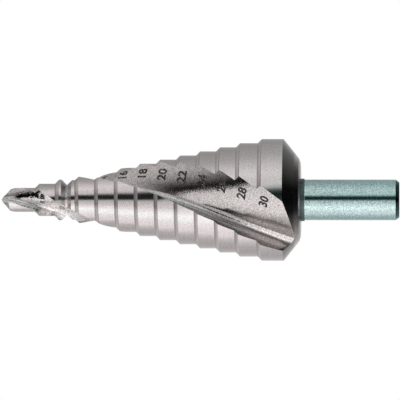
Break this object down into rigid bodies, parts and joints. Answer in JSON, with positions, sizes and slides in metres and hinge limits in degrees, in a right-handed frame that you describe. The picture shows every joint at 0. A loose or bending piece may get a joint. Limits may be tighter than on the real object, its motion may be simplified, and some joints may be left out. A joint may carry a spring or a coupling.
{
  "type": "step drill",
  "caption": "Conical step drill with spiral flutes, relieved cutting steps, a self-centring point and a plain round shank.",
  "frame": {"origin": "centre of the shank's flat end", "axes": "+Z along the drill's axis, from the shank's end to the tip"},
  "size_m": [0.03, 0.03, 0.098],
  "materials": {
    "high_speed_steel": "bright ground high-speed steel, unpolished dark behind the head"
  },
  "bodies": {
    "root": {"step_drill": "high_speed_steel"}
  },
  "joints": []
}
